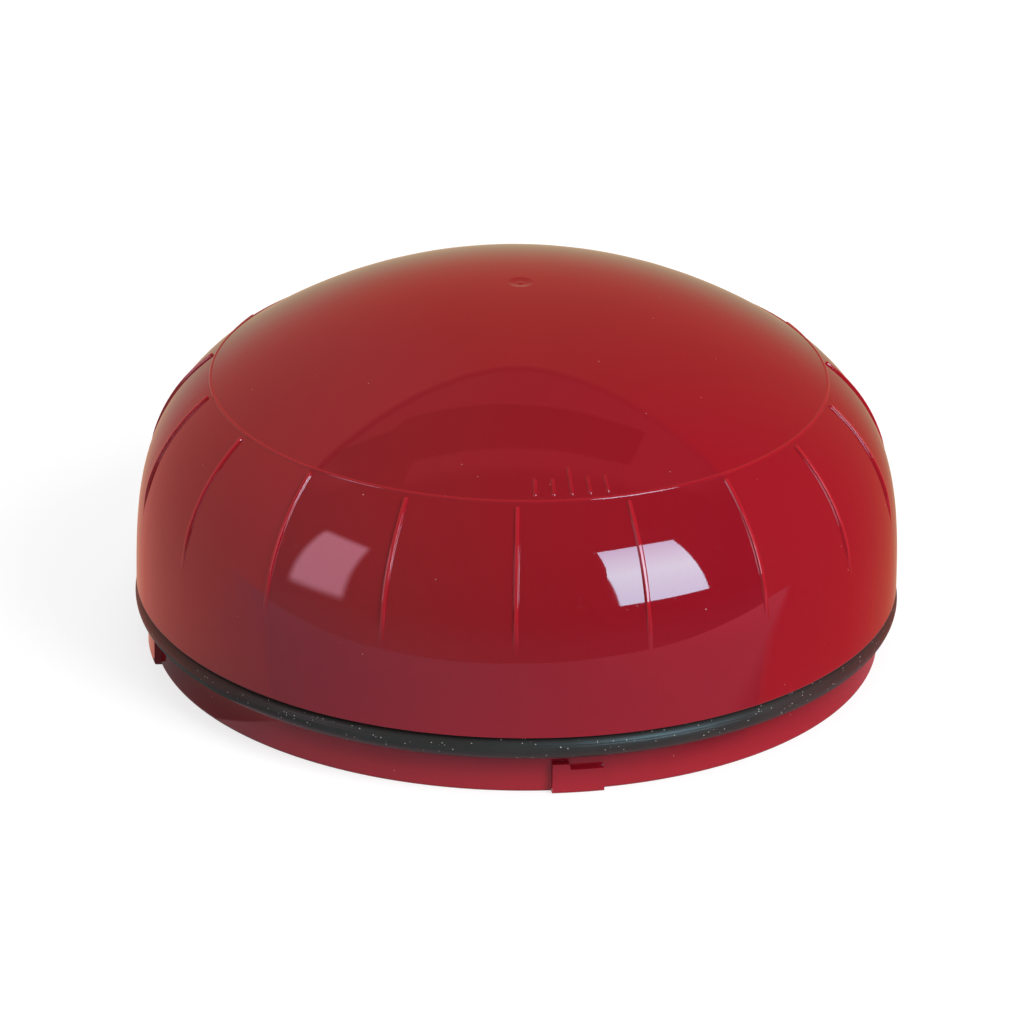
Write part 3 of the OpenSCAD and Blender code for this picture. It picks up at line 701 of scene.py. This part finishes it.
def dome_shell():
    """The dome's wall, outside and inside, with all that is moulded on it but the posts."""
    angles = dome_columns()
    # Alongside the shape, each row gets its painted glow share for the raised ribs, index bars and ring
    # bead.
    radii, heights, painted_glow_rows = [], [], []
    for r, z, nr, nz, kind, past in outer_stations():
        out = np.zeros_like(angles)
        painted_glow_row = np.zeros_like(angles)
        if kind == "crown":
            out += mark_height(angles, r)
            painted_glow_row += out / MARK_RISE * MARK_PAINTED_GLOW
            if r < DIMPLE_R + 0.4:
                hollow = DIMPLE_DEPTH * max(0.0, 1.0 - (r / DIMPLE_R) ** 2)
                gate = GATE_RISE * (1.0 - smooth_step((r - 0.1) / 0.5))
                out -= hollow - gate
        if kind == "ring":
            out += RING_BEAD * math.sqrt(max(0.0, 1.0 - (past / RING_HALF) ** 2))
            painted_glow_row += max(0.0, 1.0 - (past / 0.3) ** 2) * RING_PAINTED_GLOW
        if kind == "shoulder":
            out += rib_height(angles, r, z)
            painted_glow_row += out / RIB_RISE * RIB_PAINTED_GLOW
        painted_glow_rows.append(painted_glow_row)
        if kind == "skirt":
            radii.append(r + lug_depth(angles, z))
            heights.append(np.full_like(angles, z))
            continue
        radii.append(r + out * nr)
        heights.append(z + out * nz)
    for r, z in inner_stations():
        radii.append(np.full_like(angles, r))
        heights.append(np.full_like(angles, z))
        painted_glow_rows.append(np.zeros_like(angles))
    radii, heights = np.array(radii), np.array(heights)
    radii[0] = 0.0
    heights[0] = heights[0].mean()
    points, faces, kept = turned(radii * MM, heights * MM, np.array(painted_glow_rows), angles)
    return piece("dome_shell", points, faces, RED, "dome", 42.0, kept)


def wall_middle(r):
    """Height of the middle of the dome's wall over radius r, where the posts end."""
    best = CROWN_Z
    for z in np.linspace(18.0, RING_Z, 120):
        pr, pz, _, _ = shoulder_point(float(z), -WALL / 2)
        if pr <= r:
            best = pz
            break
    cap = CAP_Z + math.sqrt((CAP_R - WALL / 2) ** 2 - r ** 2)
    return min(best, cap)


def screw_posts():
    """Three hollow posts that end inside the dome's wall."""
    points, faces = [], []
    around = np.radians(np.arange(0.0, 360.0, 7.5))
    n = len(around)
    bore = [(POST_HOLE_R, z) for z in (POST_HOLE_TOP, 17.0, 12.0, POST_LOW_Z + 0.3)]
    outside = [(POST_HOLE_R + 0.3, POST_LOW_Z), (POST_R - 0.2, POST_LOW_Z), (POST_R, POST_LOW_Z + 0.2),
               (POST_R, 20.0), (POST_R, 26.0), (POST_R - 0.02, 32.0)]
    path = [(0.0, POST_HOLE_TOP), *bore, *outside, (POST_R, None)]
    for a in POST_ANGLES:
        cx = POST_PCD_R * math.cos(math.radians(a))
        cy = POST_PCD_R * math.sin(math.radians(a))
        start = len(points)
        for radius, z in path:
            for t in around:
                x, y = cx + radius * math.cos(t), cy + radius * math.sin(t)
                height = wall_middle(math.hypot(x, y)) if z is None else z
                points.append((x * MM, y * MM, height * MM))
        for i in range(len(path) - 1):
            here, following = start + i * n, start + (i + 1) * n
            for j in range(n):
                k = (j + 1) % n
                faces.append((here + j, here + k, following + k, following + j))
    piece("screw_posts", points, faces, RED, "dome")


def seal_mesh():
    """Sealing ring with the faint line that its mould leaves."""
    low_s, high_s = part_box("sealing_ring")
    section = (high_s.z - low_s.z) / 2
    pitch = high_s.x - section
    middle = (high_s.z + low_s.z) / 2
    turn = np.radians(np.arange(0.0, 360.0, 1.25))
    spin = np.radians(np.concatenate([np.arange(0.0, 14.0, 7.0), np.arange(14.0, 30.0, 1.6),
                                      np.arange(30.0, 360.0, 7.5)]))
    line_at, line_width, line_depth = 22.0, 2.2, 0.045 * MM
    line = np.exp(-((np.degrees(spin) - line_at) / line_width) ** 2)
    radius = section - line_depth * line
    points, faces = [], []
    for a in turn:
        for s, rr in zip(spin, radius):
            r = pitch + rr * math.cos(s)
            points.append((r * math.cos(a), r * math.sin(a), middle + rr * math.sin(s)))
    n, m = len(turn), len(spin)
    for i in range(n):
        for j in range(m):
            i2, j2 = (i + 1) % n, (j + 1) % m
            faces.append((i * m + j, i2 * m + j, i2 * m + j2, i * m + j2))
    made = piece("seal", points, faces, RUBBER, "dome", 80.0)
    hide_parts("sealing_ring")


shell = dome_shell()
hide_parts("dome")
screw_posts()
seal_mesh()


# ---------------------------------------------------------------- stage

CARD_GLOW = 16.0
SHEET_GLOW = 2.0
CAMERA_PLACE = (0.0, -0.99729, 0.46413)
CAMERA_LENS = 265.98
CAMERA_TILT = 0.43558
CAMERA_ROLL = 0.000704
AIM_UP = 0.0159153
AIM_ASIDE = 0.0134831

def stage_mesh(name, points, faces, material):
    """A mesh that belongs to the stage and not to the head."""
    mesh = bpy.data.meshes.new(name)
    mesh.from_pydata(points, [], faces)
    mesh.materials.append(material)
    made = bpy.data.objects.new(name, mesh)
    bpy.context.scene.collection.objects.link(made)
    return made


def only_in_reflections(thing):
    """Hides a thing from everything but gloss."""
    thing.visible_camera = False
    thing.visible_diffuse = False
    thing.visible_shadow = False
    thing.visible_transmission = False
    thing.visible_volume_scatter = False


def floor_finish():
    """Pale matt floor that glows to the camera and can be looked through from below; the light it bounces
    onto the head is painted brighter close to the head, with a painted shadow to the head's left.
    """
    r = MaterialRecipe("floor_pale")
    under = r.add("ShaderNodeNewGeometry", out="Backfacing")
    bounced = r.add("ShaderNodeLightPath", out="Is Diffuse Ray")
    looked_at = r.add("ShaderNodeLightPath", out="Is Camera Ray")
    place = r.add("ShaderNodeTexCoord", out="Object")
    x, _, _ = r.axes(place)
    away = r.length(place)
    # Only in bounced light: the floor is painted brighter close to the head, a painted pool of light, and
    # dark to the head's left, a painted shadow.
    near = r.ease(away, 0.090, 0.066)
    painted_shadow_patch = near * r.ease(x, -0.034, -0.040)
    white = r.blend(near, (0.60, 0.58, 0.58, 1), (0.97, 0.94, 0.94, 1))
    painted_bounce_tone = r.blend(painted_shadow_patch, white, (0.12, 0.12, 0.12, 1))
    tone = r.blend(bounced, (0.36, 0.36, 0.36, 1), painted_bounce_tone)
    paper = r.add("ShaderNodeBsdfDiffuse", None, {"Color": tone})
    haze = r.blend(looked_at, (0.0, 0.0, 0.0, 1), (0.74, 0.74, 0.74, 1))
    wash = r.add("ShaderNodeEmission", None, {"Color": haze, "Strength": 1.0})
    lifted = r.add("ShaderNodeAddShader", None, {0: paper, 1: wash})
    clear = r.add("ShaderNodeBsdfTransparent")
    return r.close(r.mixed(under, lifted, clear))


def floor():
    """Wide floor, open under the head so that light reaches its underside."""
    rings = [0.0519, 0.2, 1.0, 8.0]
    count = 96
    points, faces = [], []
    for radius in rings:
        for j in range(count):
            a = 2 * math.pi * j / count
            points.append((radius * math.cos(a), radius * math.sin(a), 0.0))
    for i in range(len(rings) - 1):
        for j in range(count):
            k = (j + 1) % count
            faces.append((i * count + j, (i + 1) * count + j, (i + 1) * count + k, i * count + k))
    made = stage_mesh("floor", points, faces, floor_finish())
    made.visible_glossy = False


def light_card(name, turn_deg, near, sideways, up, colours, soft):
    """A flat glowing card near metres away that faces the head and shows only in its gloss."""
    a = math.radians(turn_deg)
    away = Vector((math.sin(a), -math.cos(a), 0.0)) * near
    side = Vector((math.cos(a), math.sin(a), 0.0))
    corners = []
    for s, h in ((sideways[0], up[0]), (sideways[1], up[0]), (sideways[1], up[1]), (sideways[0], up[1])):
        corners.append(away + side * s * near + Vector((0, 0, h * near)))
    r = MaterialRecipe(name + "_glow")
    place = r.add("ShaderNodeTexCoord", out="Generated")
    _, _, height = r.axes(place)
    flat = r.add("ShaderNodeTexCoord", out="UV")
    u, v, _ = r.axes(flat)
    fade = r.ease(r.smaller(u, 1 - u), 0.0, soft) * r.ease(r.smaller(v, 1 - v), 0.0, soft)
    tint = r.ramp(height, colours)
    glow = r.add("ShaderNodeEmission", None, {"Color": tint, "Strength": CARD_GLOW})
    clear = r.add("ShaderNodeBsdfTransparent")
    material = r.close(r.mixed(fade, clear, glow))
    card = stage_mesh(name, [tuple(c) for c in corners], [(0, 1, 2, 3)], material)
    layer = card.data.uv_layers.new(name="flat")
    for loop, uv in zip(layer.data, ((0, 0), (1, 0), (1, 1), (0, 1))):
        loop.uv = uv
    only_in_reflections(card)


def glowing_sheet():
    """The pale table sheet as the gloss sees it, in front of the head and to its sides, with a painted
    shadow of the head to its left.
    """
    outline = [(-0.60, -0.020), (-0.32, -0.045), (-0.19, -0.079), (-0.116, -0.104), (-0.06, -0.126),
               (0.0, -0.141), (0.06, -0.137), (0.12, -0.119), (0.19, -0.096), (0.27, -0.075),
               (0.30, -0.040), (0.07, -0.030), (0.06, -0.005), (0.0, -0.02), (-0.06, -0.010)]
    r = MaterialRecipe("sheet_glow")
    place = r.add("ShaderNodeTexCoord", out="Object")
    x, y, _ = r.axes(place)
    along = r.add("ShaderNodeMapRange", None, {0: x, 1: -0.12, 2: 0.16})
    tint = r.ramp(along, [(0.0, (0.22, 0.22, 0.26)), (0.35, (0.20, 0.19, 0.24)), (0.5, (0.27, 0.15, 0.19)),
                          (0.75, (0.50, 0.14, 0.19)), (1.0, (0.80, 0.16, 0.22))])
    away = r.length(place)
    close = r.ease(away, 0.064, 0.054)
    near_tint = r.ramp(along, [(0.40, (0.40, 0.22, 0.25)), (0.52, (0.40, 0.18, 0.20)),
                               (0.60, (0.28, 0.09, 0.10))])
    tinted = r.blend(close, tint, near_tint)
    ahead = 0.0 - y
    # A dark patch to the left of the head: painted shadow of the head on the table, as the gloss sees it.
    painted_shadow_patch = r.ease(away, 0.070, 0.066) * r.ease(x, -0.0418, -0.0426) * r.ease(ahead, 0.006, 0.012)
    tint_with_painted_shadow = r.blend(painted_shadow_patch, tinted, (0.07, 0.08, 0.08, 1))
    spread = r.larger(r.ease(ahead, 0.046, 0.056) * r.ease(x, 0.0, 0.02),
                      r.ease(ahead, 0.015, 0.075) * r.ease(x, 0.0, -0.02))
    from_above = 1 - r.add("ShaderNodeNewGeometry", out="Backfacing")
    kept = r.larger(r.larger(spread, close), r.ease(abs(x), 0.02, 0.018)) * from_above
    glow = r.add("ShaderNodeEmission", None, {"Color": tint_with_painted_shadow, "Strength": SHEET_GLOW})
    clear = r.add("ShaderNodeBsdfTransparent")
    material = r.close(r.mixed(kept, clear, glow))
    points = [(px, py, 0.4 * MM) for px, py in outline]
    made = stage_mesh("table_sheet", points, [tuple(range(len(points)))], material)
    only_in_reflections(made)


def front_half(r, x, y, z):
    """The dim half of the room: walls, and a redder panel overhead with a hatch in it."""
    walls = r.ramp(x * 0.5 + 0.5, [
        (0.00, (0.30, 0.29, 0.26)), (0.065, (0.30, 0.29, 0.24)), (0.25, (0.23, 0.22, 0.15)),
        (0.50, (0.10, 0.11, 0.07)), (0.67, (0.09, 0.07, 0.04)), (0.85, (0.05, 0.035, 0.025)),
        (0.95, (0.03, 0.015, 0.02)), (1.00, (0.03, 0.015, 0.02))])
    low_down = r.ease(z, 0.12, -0.25)
    lower = r.blend(low_down, walls, (0.08, 0.075, 0.12, 1), "ADD")
    over_x = x / r.larger(z, 0.01)
    over_y = y / r.larger(z, 0.01)
    middle = r.ease(over_x, -0.42, -0.34)
    left_edge = r.ease(over_x, -0.74, -0.60)
    right_edge = r.ease(over_y * 0.2 + 0.345 - over_x, -0.006, 0.006)
    back_edge = r.ease(0.305 + middle * 0.05 - over_x * 0.05 - over_y, -0.006, 0.006)
    front_edge = r.ease(over_y - middle * 0.125, -0.008, 0.008)
    hatch = left_edge * right_edge * back_edge * front_edge
    panel = r.ease(z, 0.66, 0.84) * r.ease(over_y, -0.02, 0.07) * (1 - hatch)
    return r.blend(panel, lower, (0.50, 0.06, 0.08, 1), "ADD")


def back_half(r, x, y, z):
    """The lit half of the room: a colour for each way round it, changed by height behind the head."""
    turn = r.add("ShaderNodeMath", {"operation": "ARCTAN2"}, {0: x, 1: 0.0 - y}) / (2 * math.pi) + 0.5
    walls = r.ramp(turn, [
        (0.000, (0.95, 0.24, 0.14)), (0.028, (0.95, 0.24, 0.15)), (0.083, (1.00, 0.30, 0.24)),
        (0.167, (1.15, 0.35, 0.29)), (0.264, (1.20, 0.40, 0.36)), (0.330, (1.30, 0.35, 0.33)),
        (0.500, (1.20, 0.25, 0.22)), (0.700, (1.20, 0.14, 0.12)), (0.736, (1.20, 0.09, 0.08)),
        (0.833, (1.10, 0.08, 0.07)), (0.917, (0.80, 0.17, 0.10)), (0.972, (0.80, 0.22, 0.13)),
        (1.000, (0.95, 0.24, 0.14))])
    by_height = r.ramp(z * 0.5 + 0.5, [
        (0.00, (0.6, 2.0, 2.2)), (0.43, (0.6, 2.0, 2.2)), (0.50, (0.7, 1.8, 2.0)), (0.587, (0.85, 1.3, 1.4)),
        (0.67, (1.0, 1.05, 1.1)), (0.82, (1.05, 0.95, 1.1)), (0.93, (1.0, 0.75, 1.0)),
        (1.0, (1.0, 0.7, 0.9))])
    behind = r.ease(y, 0.80, 1.0)
    lift = r.blend(behind, (1.0, 1.0, 1.0, 1), by_height)
    return r.blend(1.0, walls, lift, "MULTIPLY")


def studio_world():
    """White to the camera, soft and even to matt surfaces, and a dim studio room to gloss."""
    world = bpy.data.worlds.new("studio")
    bpy.context.scene.world = world
    world.use_nodes = True
    r = Recipe(world.node_tree)
    x, y, z = r.axes(r.add("ShaderNodeTexCoord", out="Generated"))
    wide = r.add("ShaderNodeMath", {"operation": "SQRT"}, {0: x * x + 0.008}) - 0.055
    side_wall = y + wide * 0.22
    ceiling = y + wide * 0.48 - z * 0.62
    outline = r.smaller(side_wall, ceiling)
    lit = r.ease(outline, -0.012, 0.012)
    seam = r.ease(0.028 - abs(outline), 0.0, 0.02) * r.ease(z, 0.3, 0.6)
    halves = r.blend(lit, front_half(r, x, y, z), back_half(r, x, y, z))
    around = r.blend(seam * 0.55, halves, (0.25, 0.08, 0.08, 1))
    gloss = r.blend(r.ease(z, -0.40, -0.54), around, (0.40, 0.41, 0.42, 1))
    seen_by_gloss = r.add("ShaderNodeLightPath", out="Is Glossy Ray")
    seen_by_camera = r.add("ShaderNodeLightPath", out="Is Camera Ray")
    soft = r.blend(seen_by_gloss, (0.43, 0.43, 0.43, 1), gloss)
    shown = r.blend(seen_by_camera, soft, (0.97, 0.97, 0.97, 1))
    light = r.add("ShaderNodeBackground", None, {"Color": shown, "Strength": 1.0})
    r.add("ShaderNodeOutputWorld", None, {"Surface": light})


def soft_lamp(name, turn_deg, rise_deg, distance, size, watts):
    """A square lamp that is aimed at the head and leaves no patch in its gloss."""
    a, e = math.radians(turn_deg), math.radians(rise_deg)
    lamp = bpy.data.lights.new(name, "AREA")
    lamp.shape = "SQUARE"
    lamp.size = size
    lamp.energy = watts
    made = bpy.data.objects.new(name, lamp)
    bpy.context.scene.collection.objects.link(made)
    place = Vector((math.sin(a) * math.cos(e), -math.cos(a) * math.cos(e), math.sin(e))) * distance
    made.location = place
    made.rotation_mode = "QUATERNION"
    made.rotation_quaternion = (-place).to_track_quat("-Z", "Y")
    made.visible_glossy = False


def camera():
    """A long lens a metre away, aimed a little off the middle of the head."""
    lens = bpy.data.cameras.new("camera")
    lens.sensor_width = 36.0
    lens.lens = CAMERA_LENS
    lens.clip_start = 0.05
    lens.clip_end = 30.0
    made = bpy.data.objects.new("camera", lens)
    bpy.context.scene.collection.objects.link(made)
    aim = (Matrix.Rotation(math.pi / 2 - CAMERA_TILT, 4, "X") @ Matrix.Rotation(CAMERA_ROLL, 4, "Y")
           @ Matrix.Rotation(AIM_UP, 4, "X") @ Matrix.Rotation(AIM_ASIDE, 4, "Z"))
    made.matrix_world = Matrix.Translation(CAMERA_PLACE) @ aim
    bpy.context.scene.camera = made


floor()
light_card("card_right", 30.0, 3.0, (0.0, 0.554), (0.185, 1.0),
           [(0.0, (0.40, 0.60, 0.80)), (0.45, (0.50, 0.73, 0.88)), (1.0, (0.36, 0.48, 0.68))], 0.004)
light_card("card_left", -61.0, 3.0, (-0.185, 0.185), (0.03, 0.78),
           [(0.0, (0.25, 0.14, 0.18)), (1.0, (0.26, 0.145, 0.19))], 0.14)
glowing_sheet()
studio_world()
soft_lamp("key_light", 50.0, 35.0, 1.6, 0.9, 19.7)
soft_lamp("top_light", 0.0, 85.0, 1.8, 1.2, 6.4)
camera()
bpy.context.scene.view_settings.view_transform = "Standard"
